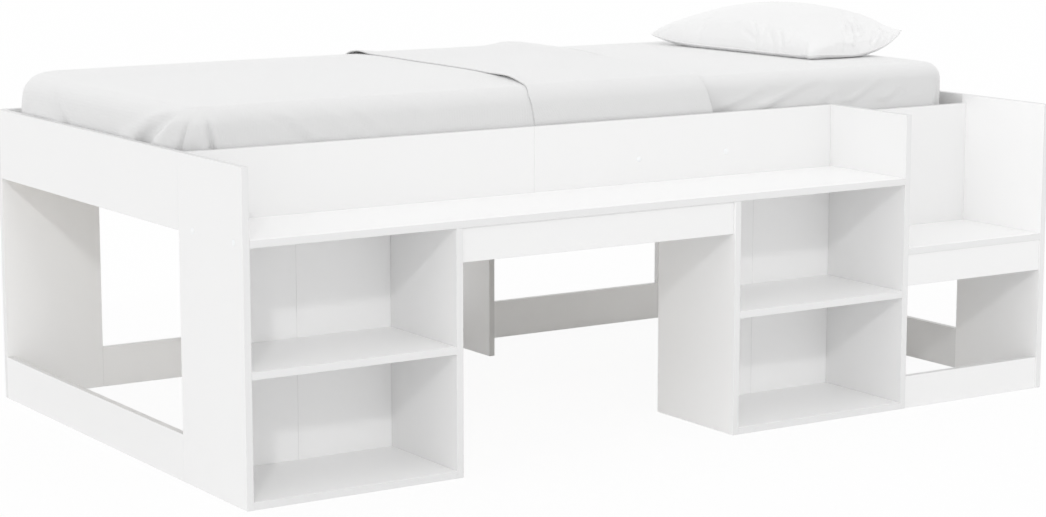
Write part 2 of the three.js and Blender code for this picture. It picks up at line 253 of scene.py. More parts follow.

# %% [markdown]
# The boards are chipboard with a thin white melamine skin, and a white strip is glued along each
# visible edge. The skin is satin, and the edge strips are a touch darker. Which way a face looks
# tells skin and edge apart, so there is one material for each way in which a board can be thin.
# So that the inside of the shelves looks almost as bright as the front, the inner boards get a
# whiter skin than the outer ones: painted light that lifts the shade inside the shelves. Two
# upright panels that look to the foot end, one in each bookcase, get a smaller painted lift.

# %% Board material
OUTER_WHITE = 0.838
# Painted light: the inner white lifts the shade in the shelves, and the panel white lifts it less
INNER_WHITE_LIFTING_SHADE = 0.96
PANEL_WHITE_LIFTING_SHADE = 0.88
EDGE_WHITE = 0.765
SKIN_WARMTH = 0.001
MOTTLE = 0.004
MOTTLE_SCALE = 7.0
# How squarely a face looks along the thin axis where edge strip turns into skin
SKIN_FACING = (0.55, 0.85)
BOARD_SHINE = 0.4
BOARD_SATIN = 0.42
SATIN_SPREAD = 0.04
GRAIN_SCALE = 900.0
GRAIN_DEPTH = 0.00001
AXES = "XYZ"


def make_board_material(name, thin_axis, white):
    name = name + "_board_thin_along_" + thin_axis.lower()
    sockets = {"Roughness": BOARD_SATIN, "Specular_IOR_Level": BOARD_SHINE}
    material, shader = start_material(name, **sockets)
    place = object_place(material)
    normal = add_node(material, "NewGeometry").outputs["Normal"]
    parts = add_node(material, "SeparateXYZ", {0: normal}).outputs
    is_skin = remap(material, calculate(material, "ABSOLUTE", parts[thin_axis]), SKIN_FACING)
    mottle = noise(material, place, MOTTLE_SCALE)
    tones = []
    for level, warmth in ((EDGE_WHITE, 0.0), (white, SKIN_WARMTH)):
        darker = grey(level - MOTTLE, warmth)
        tones.append(blend_colours(material, mottle, darker, grey(level + MOTTLE, warmth)))
    connect(material, blend_colours(material, is_skin, *tones), shader, "Base Color")
    grain = noise(material, place, GRAIN_SCALE, detail=3.0)
    satin = (BOARD_SATIN - SATIN_SPREAD, BOARD_SATIN + SATIN_SPREAD)
    connect(material, remap(material, grain, target=satin), shader, "Roughness")
    emboss(material, shader, grain, depth=GRAIN_DEPTH)
    return material


whites = {"outer": OUTER_WHITE, "inner": INNER_WHITE_LIFTING_SHADE, "panel": PANEL_WHITE_LIFTING_SHADE}
board_materials = {}
for kind, white in whites.items():
    for axis in AXES:
        board_materials[kind, axis] = make_board_material(kind, axis, white)
print("board materials:", len(board_materials))

# %% [markdown]
# A real board never has a knife edge. Its arris is eased by less than a millimetre, which gives
# each board a fine line of light and each joint a fine dark groove. Modifiers do that without
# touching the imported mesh: loose corners are welded, flat faces joined, and edges bevelled.

# %% Ease the edges of the boards
BOARD_ARRIS = 0.0008
PINE_ARRIS = 0.002
WELD_REACH = 0.00001
FLAT_WITHIN = math.radians(1)


def ease_edges(board, arris):
    weld = board.modifiers.new("weld", "WELD")
    weld.merge_threshold = WELD_REACH
    flatten = board.modifiers.new("flatten", "DECIMATE")
    flatten.decimate_type = "DISSOLVE"
    flatten.angle_limit = FLAT_WITHIN
    bevel = board.modifiers.new("arris", "BEVEL")
    bevel.width = arris
    bevel.segments = 2
    bevel.limit_method = "ANGLE"
    shading = board.modifiers.new("shading", "WEIGHTED_NORMAL")
    shading.keep_sharp = False


def set_material(piece, material):
    piece.data.materials.clear()
    piece.data.materials.append(material)


def axis_of(node, choose):
    """The axis along which a node is shortest or longest, as min or max chooses."""
    low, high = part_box(node)
    size = list(high - low)
    return AXES[size.index(choose(size))]


def kind_of(node):
    if node in PANEL_NODES:
        return "panel"
    return "inner" if any(word in node for word in INNER_WORDS) else "outer"


SOFT_NODES = ["mattress", "fitted_sheet", "blanket", "pillow"]
# Boards named here get a whiter skin, which is painted light that lifts their shade.
PANEL_NODES = ("left_bookcase_side", "divider")
INNER_WORDS = ("bookcase", "divider", "platform", "desk_top", "back_", "right_front")
cap_nodes = [name for name in nodes if "_cap_" in name]
pine_nodes = [name for name in nodes if name.startswith("slat_") or "_cleat_" in name]
dressed = set(SOFT_NODES + cap_nodes + pine_nodes)
board_nodes = [name for name in nodes if name not in dressed]
for name in board_nodes:
    set_material(nodes[name], board_materials[kind_of(name), axis_of(name, min)])
    ease_edges(nodes[name], BOARD_ARRIS)
print("white boards:", len(board_nodes))

# %% [markdown]
# The slats and the cleats under them are planed pine. Growth rings cut lengthwise show as long
# wavering streaks, and here and there a knot bends them. Stretching the pattern along the board
# turns round noise into streaks.

# %% Pine
PINE_PALE = (0.87, 0.82, 0.73, 1)
PINE_DARK = (0.79, 0.72, 0.61, 1)
PINE_SHINE = 0.3
PINE_ROUGHNESS = (0.55, 0.75)
STREAK_DEPTH = 0.0003
STREAK_STRETCH = 0.06
RING_SCALE = 26.0
WAVER_SCALE = 5.0
WAVER = 3.0
KNOT_BROWN = (0.5, 0.36, 0.22, 1)
KNOT_SCALE = 3.2
KNOT_SCATTER = 0.9
KNOT_REACH = 0.12
KNOT_PULL = 2.0


def make_pine_material(long_axis):
    name = "pine_along_" + long_axis.lower()
    material, shader = start_material(name, Specular_IOR_Level=PINE_SHINE)
    place = object_place(material)
    stretch = tuple(STREAK_STRETCH if axis == long_axis else 1.0 for axis in AXES)
    along = add_node(material, "Mapping", {"Vector": place, "Scale": stretch}).outputs[0]
    inputs = {"Vector": place, "Scale": KNOT_SCALE, "Randomness": KNOT_SCATTER}
    knots = add_node(material, "TexVoronoi", inputs).outputs["Distance"]
    near_knot = remap(material, knots, (0.0, KNOT_REACH), (1.0, 0.0))
    sway = noise(material, along, WAVER_SCALE, detail=3.0)
    pull = times(material, knots, KNOT_PULL)
    rings = calculate(material, "ADD", times(material, sway, WAVER), pull)
    ring_place = add_node(material, "CombineXYZ", {0: rings}).outputs[0]
    streaks = noise(material, ring_place, RING_SCALE, detail=4.0)
    wood = blend_colours(material, streaks, PINE_PALE, PINE_DARK)
    wood = blend_colours(material, near_knot, wood, KNOT_BROWN)
    connect(material, wood, shader, "Base Color")
    connect(material, remap(material, streaks, target=PINE_ROUGHNESS), shader, "Roughness")
    emboss(material, shader, streaks, depth=STREAK_DEPTH)
    return material


pine_materials = {axis: make_pine_material(axis) for axis in "XY"}
for name in pine_nodes:
    set_material(nodes[name], pine_materials[axis_of(name, max)])
    ease_edges(nodes[name], PINE_ARRIS)
print("pine parts:", len(pine_nodes))

# %% [markdown]
# Each screw head is hidden under a small plastic cap that clips into it. The real one is a low
# dome with a thin rim. It is turned from a short profile, as on a lathe, and it stands where the
# packed cap stands.

# %% Screw caps: plastic, and helpers for shapes
CAP_FINISH = {"Base_Color": grey(0.9), "Roughness": 0.35, "Subsurface_Weight": 0.05}
CAP_ROUGHNESS = (0.3, 0.42)
CAP_GRAIN_SCALE = 2500.0
CAP_GRAIN_DEPTH = 0.00003


def make_cap_material():
    material, shader = start_material("cap_plastic", **CAP_FINISH)
    place = object_place(material)
    grain = noise(material, place, CAP_GRAIN_SCALE)
    connect(material, remap(material, grain, target=CAP_ROUGHNESS), shader, "Roughness")
    emboss(material, shader, grain, depth=CAP_GRAIN_DEPTH)
    return material


def make_object(name, mesh, material, node=None):
    """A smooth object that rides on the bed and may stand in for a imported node."""
    piece = add_object(name, mesh)
    set_material(piece, material)
    mesh.polygons.foreach_set("use_smooth", [True] * len(mesh.polygons))
    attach(piece, BODY)
    if node:
        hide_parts(node)
    return piece


def join_rings(shape, rings):
    """Faces from each ring of corners to the next. A ring that is one point gives triangles."""
    count = len(rings[0])
    for lower, upper in zip(rings, rings[1:]):
        for i in range(count):
            j = (i + 1) % count
            corners = dict.fromkeys((lower[i], lower[j], upper[j], upper[i]))
            shape.faces.new(list(corners))


def mesh_from(shape, name):
    mesh = bpy.data.meshes.new(name)
    shape.to_mesh(mesh)
    shape.free()
    return mesh


cap_material = make_cap_material()
print("cap material:", cap_material["slot"])

# %% Screw caps: shape
CAP_SEGMENTS = 40
# Each step of the profile is a share of the cap's radius and a share of its height.
CAP_PROFILE = [(0, 0), (0.9, 0), (1, 0.12), (1, 0.3), (0.9, 0.45), (0.72, 0.72)]
CAP_PROFILE += [(0.4, 0.94), (0, 1)]


def turned_mesh(name, base, axis, radius, height):
    side = axis.orthogonal().normalized()
    other = axis.cross(side)
    shape = bmesh.new()
    rings = []
    for reach, rise in CAP_PROFILE:
        centre = base + axis * (rise * height)
        if reach == 0:
            rings.append([shape.verts.new(centre)] * CAP_SEGMENTS)
            continue
        ring = []
        for i in range(CAP_SEGMENTS):
            angle = 2 * math.pi * i / CAP_SEGMENTS
            spoke = side * math.cos(angle) + other * math.sin(angle)
            ring.append(shape.verts.new(centre + spoke * (reach * radius)))
        rings.append(ring)
    join_rings(shape, rings)
    bmesh.ops.recalc_face_normals(shape, faces=shape.faces)
    return mesh_from(shape, name)


for name in cap_nodes:
    low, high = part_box(name)
    size = high - low
    thin = list(size).index(min(size))
    outward = Vector((0, 0, 0))
    outward[thin] = 1 if name.startswith("right_") else -1
    base = (low + high) / 2
    base[thin] = low[thin] if outward[thin] > 0 else high[thin]
    mesh = turned_mesh(name + "_dome", base, outward, max(size) / 2, min(size))
    make_object(name + "_dome", mesh, cap_material, name)
print("caps:", len(cap_nodes))

# %% [markdown]
# All bedding follows the same mattress, so one function says where a point of flat cloth lies
# on it. The cloth has a coordinate u along the bed and v across it. Past the straight part of
# the top it bends over the rounded edge and hangs down the side. At a corner, both u and v are
# past the top, and the cloth is drawn together round the mattress corner.

# %% Where cloth lies on the mattress
FOOT_FRONT_CORNER = 0.065
FOOT_BACK_CORNER = 0.115
HEAD_CORNER = 0.064
MATTRESS_EDGE = 0.036
MATTRESS_CROWN = 0.005
# A higher number keeps the crown level for longer before it falls off to the edge.
CROWN_SQUARENESS = 6
TINY = 1e-9

mattress_low, mattress_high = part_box("mattress")
mattress_centre = (mattress_low + mattress_high) / 2
half_length = (mattress_high.x - mattress_low.x) / 2
half_width = (mattress_high.y - mattress_low.y) / 2
shoulder = mattress_high.z - MATTRESS_CROWN
bend_length = MATTRESS_EDGE * math.pi / 2


def corner_radius(u, v):
    foot = np.where(v < 0, FOOT_FRONT_CORNER, FOOT_BACK_CORNER)
    return np.where(u < 0, foot, HEAD_CORNER)


def lay_cloth(u, v):
    """Where points of flat cloth lie, and which way is outward there."""
    corner = corner_radius(u, v)
    corner_flat = corner - MATTRESS_EDGE
    straight_u = half_length - corner
    straight_v = half_width - corner
    past_u = np.maximum(np.abs(u) - straight_u, 0)
    past_v = np.maximum(np.abs(v) - straight_v, 0)
    past = np.maximum(past_u, past_v)
    ratio = np.minimum(past_u, past_v) / np.maximum(past, TINY)
    turn = np.where(past_u >= past_v, ratio, 2 - ratio) * math.pi / 4
    over = np.maximum(past - corner_flat, 0)
    bend = np.minimum(over / MATTRESS_EDGE, math.pi / 2)
    hang = np.maximum(over - bend_length, 0)
    out = np.minimum(past, corner_flat) + MATTRESS_EDGE * np.sin(bend)
    away_x = np.sign(u) * np.cos(turn)
    away_y = np.sign(v) * np.sin(turn)
    x = np.clip(u, -straight_u, straight_u) + away_x * out
    y = np.clip(v, -straight_v, straight_v) + away_y * out
    bulge_x = 1 - np.minimum(np.abs(x / half_length), 1) ** CROWN_SQUARENESS
    bulge_y = 1 - np.minimum(np.abs(y / half_width), 1) ** CROWN_SQUARENESS
    drop = MATTRESS_EDGE * (1 - np.cos(bend)) + hang
    z = shoulder - drop + MATTRESS_CROWN * bulge_x * bulge_y
    place = np.stack([x + mattress_centre.x, y + mattress_centre.y, z], -1)
    normal = np.stack([away_x * np.sin(bend), away_y * np.sin(bend), np.cos(bend)], -1)
    return place, normal


def reach_down_to(height, half):
    """The cloth coordinate that hangs down to a height, at half the length or width."""
    return half - MATTRESS_EDGE + bend_length + (shoulder - MATTRESS_EDGE - height)


print("cloth at the top centre:", lay_cloth(np.zeros(1), np.zeros(1))[0].round(3))

# %% [markdown]
# Folds are pushed into the cloth along its outward direction. A fold is a soft ridge, or a
# valley if its height is negative, between two points in space. Its width and height may grow
# from one end to the other, as a gather does where it runs out of a corner.

# %% Folds and small unevenness
RIPPLE_WAVES = 6
RIPPLE_SWAY = 1.7
SWAY_RATE = 3


def fold(points, start, end, width, height):
    start = np.array(start)
    along = np.array(end) - start
    share = np.clip((points - start) @ along / (along @ along), 0, 1)
    nearest = start + share[..., None] * along
    distance = np.linalg.norm(points - nearest, axis=-1)
    wide = width[0] + (width[1] - width[0]) * share
    tall = height[0] + (height[1] - height[0]) * share
    return tall * np.exp(-((distance / wide) ** 2))


def smooth(value, low, high):
    t = np.clip((value - low) / (high - low), 0, 1)
    return t * t * (3 - 2 * t)


def ripple(points, pitch, height, seed):
    """A gentle unevenness: a few waves that cross at set angles."""
    turns = np.random.default_rng(seed).uniform(0, 2 * math.pi, (RIPPLE_WAVES, 2))
    total = np.zeros(points.shape[:-1])
    for heading, phase in turns:
        run = points[..., 0] * math.cos(heading) + points[..., 1] * math.sin(heading)
        sway = RIPPLE_SWAY * np.sin(SWAY_RATE * run / pitch)
        total += np.sin(2 * math.pi * run / pitch + phase + sway)
    return height * total / len(turns)


# How far cloth may stand off the mattress before it meets the rails, and above them
ROOM_SIDE = 0.0106
ROOM_END = 0.0042
ROOM_CORNER = 0.010
ROOM_ABOVE_RAIL = 0.012
RAIL_TOP = 0.66
RAIL_CLEARANCE = (0.0015, 0.0085)
# Below this upward share of its outward direction, cloth counts as hanging at a side.
SIDE_BELOW = 0.5


def hold_within(lift, closest, points, normals):
    """Points of cloth, lifted off the mattress but kept clear of it and of the rails."""
    over_rail = smooth(points[..., 2] - RAIL_TOP, *RAIL_CLEARANCE)
    endward, sideward = normals[..., 0] ** 2, normals[..., 1] ** 2
    at_corner = 4 * endward * sideward
    room = ROOM_SIDE + ROOM_END * endward + ROOM_CORNER * at_corner
    room = room + ROOM_ABOVE_RAIL * over_rail
    is_side = normals[..., 2] < SIDE_BELOW
    held = np.where(is_side, np.clip(lift, closest, room), np.maximum(lift, closest))
    return points + normals * held[..., None]


fold_middle = fold(np.array([0.5, 0, 0]), (0, 0, 0), (1, 0, 0), (0.1, 0.1), (0.01, 0.02))
print("a fold that grows from 10 to 20 mm, at its middle:", round(float(fold_middle), 4), "m")

# %% [markdown]
# A cloth piece is a grid of points. It becomes a mesh of four-sided faces, and a modifier gives
# it the thickness of the cloth. Each point keeps its place on the flat cloth, so that the weave
# can follow the threads round every fold. A tube round a seam is a grid too, closed both ways.

# %% From a grid of points to a mesh
TUBE_SIDES = 8


def quads(index):
    """The four corners of each face between the rows and columns of a grid."""
    corners = (index[:-1, :-1], index[1:, :-1], index[1:, 1:], index[:-1, 1:])
    return np.stack(corners, -1).reshape(-1, 4)


def new_mesh(name, points, faces):
    mesh = bpy.data.meshes.new(name)
    mesh.from_pydata(points.tolist(), [], faces.tolist())
    return mesh


def loop_tube(name, loop, radius):
    """A closed tube along a loop of points."""
    ahead = np.roll(loop, -1, axis=0) - np.roll(loop, 1, axis=0)
    ahead /= np.linalg.norm(ahead, axis=1)[:, None]
    across = np.cross(ahead, (0, 0, 1))
    across /= np.linalg.norm(across, axis=1)[:, None]
    up = np.cross(across, ahead)
    angles = np.linspace(0, 2 * math.pi, TUBE_SIDES, endpoint=False)[None, :, None]
    spokes = np.cos(angles) * across[:, None, :] + np.sin(angles) * up[:, None, :]
    points = (loop[:, None, :] + radius * spokes).reshape(-1, 3)
    index = np.arange(len(points)).reshape(len(loop), TUBE_SIDES)
    return new_mesh(name, points, quads(np.pad(index, (0, 1), mode="wrap")))


print("faces between 3 rows of 4 points:", len(quads(np.arange(12).reshape(3, 4))))

# %% From a mesh to cloth
CLOTH_STEP = 0.012
FINE_STEP = 0.005


def make_cloth(node, points, thread, across, material, thickness):
    name = node + "_cloth"
    index = np.arange(thread.size).reshape(thread.shape)
    mesh = new_mesh(name, points.reshape(-1, 3), quads(index))
    flat = np.stack([thread, across, np.zeros_like(thread)], -1)
    threads = mesh.attributes.new("threads", "FLOAT_VECTOR", "POINT")
    threads.data.foreach_set("vector", flat.astype(np.float32).ravel())
    piece = make_object(name, mesh, material, node)
    solid = piece.modifiers.new("thickness", "SOLIDIFY")
    solid.thickness = thickness
    solid.offset = 0
    solid.use_even_offset = False
    return piece


def spaced(start, stop, step):
    return np.linspace(start, stop, max(2, round(abs(stop - start) / step) + 1))


def graded(stops, steps):
    """Spacing in stretches from stop to stop, each with its own step."""
    parts = [spaced(a, b, step)[:-1] for a, b, step in zip(stops, stops[1:], steps)]
    return np.concatenate(parts + [stops[-1:]])


def columns(hem):
    """Places across the bed from hem to hem, closer at both sides, and how far out a hem lies."""
    limit = reach_down_to(hem, half_width)
    edge = half_width - FOOT_BACK_CORNER
    steps = [FINE_STEP, CLOTH_STEP, FINE_STEP]
    return graded([-limit, -edge, edge, limit], steps), limit


print("one metre in steps of about 0.3 m:", spaced(0, 1, 0.3).round(3))

# %% [markdown]
# Woven cotton is two sets of threads that pass over and under each other. Seen close, that is a
# fine grid of bumps, and from a step away it only takes the shine off. The blanket's cloth is
# crinkled as well, so broader wavy lines run across it. The weave reads the cloth's own
# coordinates, so it needs no picture and no unwrapping.

# %% Cotton
COTTON_FINISH = {"Roughness": 0.92, "Specular_IOR_Level": 0.2}
COTTON_FINISH.update(Sheen_Weight=1.0, Sheen_Roughness=0.5)
SLUB_SCALE = 140.0
SWAY_SCALE = 45.0
SWAY = 5.0
PATCH_SCALE = 9.0
PATCHINESS = 0.1
# Painted light and shade: cloth that looks up by these shares goes from the darker tone of its
# sides to the lighter tone of its top.
PAINTED_SHADE_FACING_UP = (0.3, 0.9)


def make_cotton(name, tones, thread, weave_depth, crinkle=None, own_place=True):
    material, shader = start_material(name, **COTTON_FINISH)
    if own_place:
        place = add_node(material, "Attribute", attribute_name="threads").outputs["Vector"]
    else:
        place = object_place(material)
    parts = add_node(material, "SeparateXYZ", {0: place}).outputs
    weave = times(material, *[wave(material, parts[a], thread) for a in "XY"])
    reliefs = [(weave, weave_depth), (noise(material, place, SLUB_SCALE, detail=3.0), weave_depth)]
    if crinkle:
        pitch, crinkle_depth = crinkle
        sway = times(material, noise(material, place, SWAY_SCALE), SWAY)
        reliefs.append((wave(material, parts["X"], pitch, sway), crinkle_depth))
    height = 0.0
    for pattern, depth in reliefs:
        height = calculate(material, "ADD", height, times(material, pattern, depth))
    emboss(material, shader, height, depth=1.0)
    patches = noise(material, place, PATCH_SCALE, detail=3.0)
    patchy = remap(material, patches, target=(-PATCHINESS, PATCHINESS))
    normal = add_node(material, "NewGeometry").outputs["Normal"]
    up_share = add_node(material, "SeparateXYZ", {0: normal}).outputs["Z"]
    # Painted shade and light: the sides get the first tone and the top gets the second.
    share = calculate(material, "ADD", remap(material, up_share, PAINTED_SHADE_FACING_UP), patchy)
    side, top = tones
    connect(material, blend_colours(material, share, grey(side), grey(top)), shader, "Base Color")
    return material


# Each cotton's two tones are its painted shaded sides and its painted lit top.
sheet_cotton = make_cotton("sheet_cotton", (0.66, 0.77), thread=0.0009, weave_depth=0.00005)
blanket_cotton = make_cotton(
    "blanket_cotton", (0.68, 0.765), thread=0.0016, weave_depth=0.00008, crinkle=(0.0062, 0.00008)
)
pillow_cotton = make_cotton(
    "pillow_cotton", (0.84, 0.845), thread=0.0009, weave_depth=0.00004, own_place=False
)
print("cottons:", [cotton["slot"] for cotton in (sheet_cotton, blanket_cotton, pillow_cotton)])

# %% [markdown]
# The mattress is a foam block in a knitted cover, with rounded edges and slightly hollow sides.
# Little of it shows, but it can be seen between the slats and below the hem of the sheet. It is
# made from rings, from its underside to its crown, and a piping runs round its lower seam.

# %% Mattress: knitted cover
KNIT_FINISH = {"Roughness": 0.95, "Specular_IOR_Level": 0.2, "Sheen_Weight": 0.15}
KNIT_TONES = (0.76, 0.82)
STITCH = 0.004
STITCH_LEAN = 1.2
STITCH_DEPTH = 0.0003


def make_knit():
    material, shader = start_material("mattress_cover", **KNIT_FINISH)
    place = object_place(material)
    parts = add_node(material, "SeparateXYZ", {0: place}).outputs
    column = wave(material, parts["X"], STITCH)
    lean = times(material, column, STITCH_LEAN)
    row = wave(material, parts["Y"], STITCH, lean)
    emboss(material, shader, times(material, row, STITCH_DEPTH), depth=1.0)
    dark, light = KNIT_TONES
    tone = remap(material, row, (-1.0, 1.0))
    connect(material, blend_colours(material, tone, grey(dark), grey(light)), shader, "Base Color")
    return material


knit = make_knit()
print("stitches in a metre:", round(1 / STITCH))

# %% Mattress: block and piping
PIPING_RADIUS = 0.004
WAIST = 0.002
CROWN_SHARES = (0.1, 0.3, 0.8)
CORNER_POINTS = 13
MIN_CORNER = 0.004
EDGE_RINGS = 7


def outline(inset):
    """Points round the mattress, as far inside its outline as the inset."""
    places = []
    for quarter, (sign_x, sign_y) in enumerate([(1, -1), (1, 1), (-1, 1), (-1, -1)]):
        radius = max(float(corner_radius(sign_x, sign_y)) - inset, MIN_CORNER)
        reach = np.array([half_length, half_width]) - inset - radius
        centre = np.array([mattress_centre.x, mattress_centre.y]) + reach * (sign_x, sign_y)
        for angle in np.linspace(0, math.pi / 2, CORNER_POINTS) + (quarter - 1) * math.pi / 2:
            places.append(centre + radius * np.array([math.cos(angle), math.sin(angle)]))
    return np.array(places)


def mattress_profile():
    """Insets from the outline, and heights, from the underside to the crown."""
    angles = np.linspace(0, math.pi / 2, EDGE_RINGS)
    height = mattress_high.z - mattress_low.z
    side_top = height - MATTRESS_CROWN
    lower = [(MATTRESS_EDGE * (1 - math.sin(a)), MATTRESS_EDGE * (1 - math.cos(a))) for a in angles]
    upper = [(inset, side_top - rise) for inset, rise in reversed(lower)]
    crown = []
    for share in CROWN_SHARES:
        rise = MATTRESS_CROWN * share**0.5
        crown.append((MATTRESS_EDGE + half_width * share, side_top + rise))
    return lower + [(WAIST, side_top / 2)] + upper + crown


def mattress_mesh(name):
    shape = bmesh.new()
    rings = []
    for inset, height in mattress_profile():
        z = mattress_low.z + height
        rings.append([shape.verts.new((x, y, z)) for x, y in outline(inset)])
    join_rings(shape, rings)
    shape.faces.new(rings[0][::-1])
    shape.faces.new(rings[-1])
    return mesh_from(shape, name)


mattress = make_object("mattress_block", mattress_mesh("mattress_block"), knit, "mattress")
piping_inset = MATTRESS_EDGE * (1 - math.sin(math.pi / 4))
piping_level = mattress_low.z + piping_inset
piping_loop = np.array([(x, y, piping_level) for x, y in outline(piping_inset)])
piping_mesh = loop_tube("mattress_piping", piping_loop, PIPING_RADIUS)
make_object("mattress_piping", piping_mesh, knit)
print("mattress rings:", len(mattress_profile()))

# %% [markdown]
# The fitted sheet is cotton, drawn tight by elastic under its corners. On the front side, near
# the head, the pull of the elastic leaves slanting stretch folds: narrow ridges that rise from
# the rail towards the head, with a shallow valley below each. They are placed one by one.

# %% Fitted sheet
SHEET_THICKNESS = 0.0012
SHEET_LIFT = 0.0014
SHEET_CLOSE = 0.0008
SHEET_HEM = mattress_low.z + 0.031
SHEET_FINE_FROM = 0.24
# The side stands off a little towards the head, where no blanket covers it.
BULGE = 0.0112
BULGE_FROM = (0.30, 0.36)
BULGE_FADE = (0.90, 0.975)
FRONT = mattress_low.y - BULGE
# Stretch folds on the front side: where each starts and ends, along the bed and up
SHEET_FOLDS = [
    ((0.285, 0.664), (0.420, 0.706), 0.0056),
    ((0.408, 0.664), (0.580, 0.719), 0.0066),
    ((0.585, 0.672), (0.628, 0.689), 0.0032),
    ((0.640, 0.650), (0.756, 0.707), 0.0060),
    ((0.760, 0.656), (0.815, 0.687), 0.0050),
]
RIDGE_WIDTH = (0.0075, 0.0060)
VALLEY_WIDTH = (0.0130, 0.0100)
VALLEY_DROP = 0.012
RIDGE_FADE = 0.4
VALLEY_DEPTH = (0.55, 0.35)
SHEET_RIPPLE = {"pitch": 0.37, "height": 0.0003, "seed": 3}


def sheet_folds(points):
    push = np.zeros(points.shape[:-1])
    for (start_x, start_z), (end_x, end_z), height in SHEET_FOLDS:
        start = (start_x, FRONT, start_z)
        end = (end_x, FRONT, end_z)
        push += fold(points, start, end, RIDGE_WIDTH, (height, RIDGE_FADE * height))
        start = (start_x + VALLEY_DROP, FRONT, start_z - VALLEY_DROP)
        end = (end_x + VALLEY_DROP, FRONT, end_z - VALLEY_DROP)
        depth = [share * height for share in VALLEY_DEPTH]
        push -= fold(points, start, end, VALLEY_WIDTH, depth)
    return push


def make_fitted_sheet():
    end_u = reach_down_to(SHEET_HEM, half_length)
    u = graded([-end_u, SHEET_FINE_FROM, end_u], [CLOTH_STEP, FINE_STEP])
    v, end_v = columns(SHEET_HEM)
    u_grid, v_grid = np.meshgrid(u, v, indexing="ij")
    hang = smooth(np.abs(v_grid) - half_width + MATTRESS_EDGE, 0, 2 * bend_length)
    beside_head = smooth(u_grid, *BULGE_FROM) * (1 - smooth(u_grid, *BULGE_FADE))
    lift = SHEET_LIFT + BULGE * hang * beside_head
    points, normals = lay_cloth(u_grid, v_grid)
    push = sheet_folds(points + normals * lift[..., None]) + ripple(points, **SHEET_RIPPLE)
    points = hold_within(lift + push, SHEET_CLOSE, points, normals)
    piece = make_cloth("fitted_sheet", points, u_grid, v_grid, sheet_cotton, SHEET_THICKNESS)
    return piece, (2 * end_v, 2 * end_u)


fitted_sheet, sheet_flat = make_fitted_sheet()
print("fitted sheet, cut size:", [round(s, 2) for s in sheet_flat])

# %% [markdown]
# The blanket starts inside the foot rail, comes up over the foot of the mattress and runs to a
# fold near the middle. There it turns back over itself, and its hem lies on top, slightly
# askew. It is one strip of cloth: a lower layer, a tight bend and an upper layer. The bend is
# pinched at the desk side and stands up as a loose roll at the wall side.

# %% Blanket: sizes of the strip
BLANKET_THICKNESS = 0.0026
BLANKET_LIFT = 0.0042
BLANKET_CLOSE = 0.0036
LAYER_GAP = 0.0029
BLANKET_SKIRT = mattress_low.z + 0.051
FOLD_FRONT = 0.262
FOLD_BACK = 0.390
FOLD_LEAN = 0.28
HEM_MIDDLE = -0.103
HEM_BOW = 0.36
HEM_BOW_CENTRE = 0.07
HEM_LEAN = 0.15
# Where the hem stands off the layer below: across the bed, how widely, and how high
HEM_RISES = [(-0.285, 0.09, 0.0055), (0.395, 0.035, 0.0065)]
HEM_RISE_REACH = 0.045
HEM_BAND = 0.016
HEM_STEP = 0.002
ROLL_HEIGHT = 0.0135
ROLL_PLACE = 0.305
ROLL_SPREAD = 0.060
ROLL_FADE_IN = (0.0, 0.40)
ROLL_FADE_OUT = (half_width, half_width + 0.06)
WRINKLE_STEP = 0.007
CORNER_STEP = 0.0035
# From the foot to the fold, rows are closer at the corner and where the side is wrinkled.
ROW_STOPS = [-0.98, -0.88, -0.40, FOLD_FRONT]
ROW_STEPS = [FINE_STEP, CORNER_STEP, WRINKLE_STEP, CLOTH_STEP]
BEND_STEPS = 8
print("turned back:", round(FOLD_FRONT - HEM_MIDDLE, 3), "m")

# %% Blanket: rows of the strip
def past_edge(v):
    return np.maximum(np.abs(v) - half_width, 0)


def hem_line(v):
    bow = HEM_BOW * (np.clip(v, -half_width, half_width) - HEM_BOW_CENTRE) ** 2
    return HEM_MIDDLE - bow + HEM_LEAN * past_edge(v)


def fold_line(v):
    share = smooth(v, -half_width, half_width)
    return FOLD_FRONT + (FOLD_BACK - FOLD_FRONT) * share + FOLD_LEAN * past_edge(v)


def upper_lift(u, v, from_hem):
    """The upper layer lies on the lower one, but for its loose roll and the ends of its hem."""
    along = np.exp(-(((u - ROLL_PLACE) / ROLL_SPREAD) ** 2))
    loose = ROLL_HEIGHT * along * smooth(v, *ROLL_FADE_IN) * (1 - smooth(v, *ROLL_FADE_OUT))
    near_hem = np.exp(-((from_hem / HEM_RISE_REACH) ** 2))
    for place, spread, height in HEM_RISES:
        loose = loose + height * near_hem * np.exp(-(((v - place) / spread) ** 2))
    return BLANKET_LIFT + LAYER_GAP + loose


def blanket_rows(v):
    """Rows of cloth coordinate, lift and thread length: lower layer, bend, upper layer."""
    fold_u = fold_line(v)
    hem_u = hem_line(v)
    flat_lift = np.full_like(v, BLANKET_LIFT)
    foot = -reach_down_to(BLANKET_SKIRT, half_length)
    rows = []
    for base in graded([foot] + ROW_STOPS, ROW_STEPS):
        u = base + (fold_u - FOLD_FRONT) * max(base / FOLD_FRONT, 0)
        rows.append((u, flat_lift, u))
    radius = LAYER_GAP / 2
    for angle in np.linspace(0, math.pi, BEND_STEPS + 1)[1:-1]:
        u = fold_u + radius * math.sin(angle)
        rows.append((u, flat_lift + radius * (1 - math.cos(angle)), fold_u + radius * angle))
    steps = spaced(1, 0, CLOTH_STEP / (FOLD_FRONT - HEM_MIDDLE))
    distances = [HEM_BAND + s * (fold_u - hem_u - HEM_BAND) for s in steps]
    distances += [np.full_like(v, d) for d in spaced(HEM_BAND, 0, HEM_STEP)[1:]]
    for from_hem in distances:
        u = hem_u + from_hem
        thread = 2 * fold_u - u + math.pi * radius
        rows.append((u, upper_lift(u, v, from_hem), thread))
    return [np.stack(part) for part in zip(*rows)]


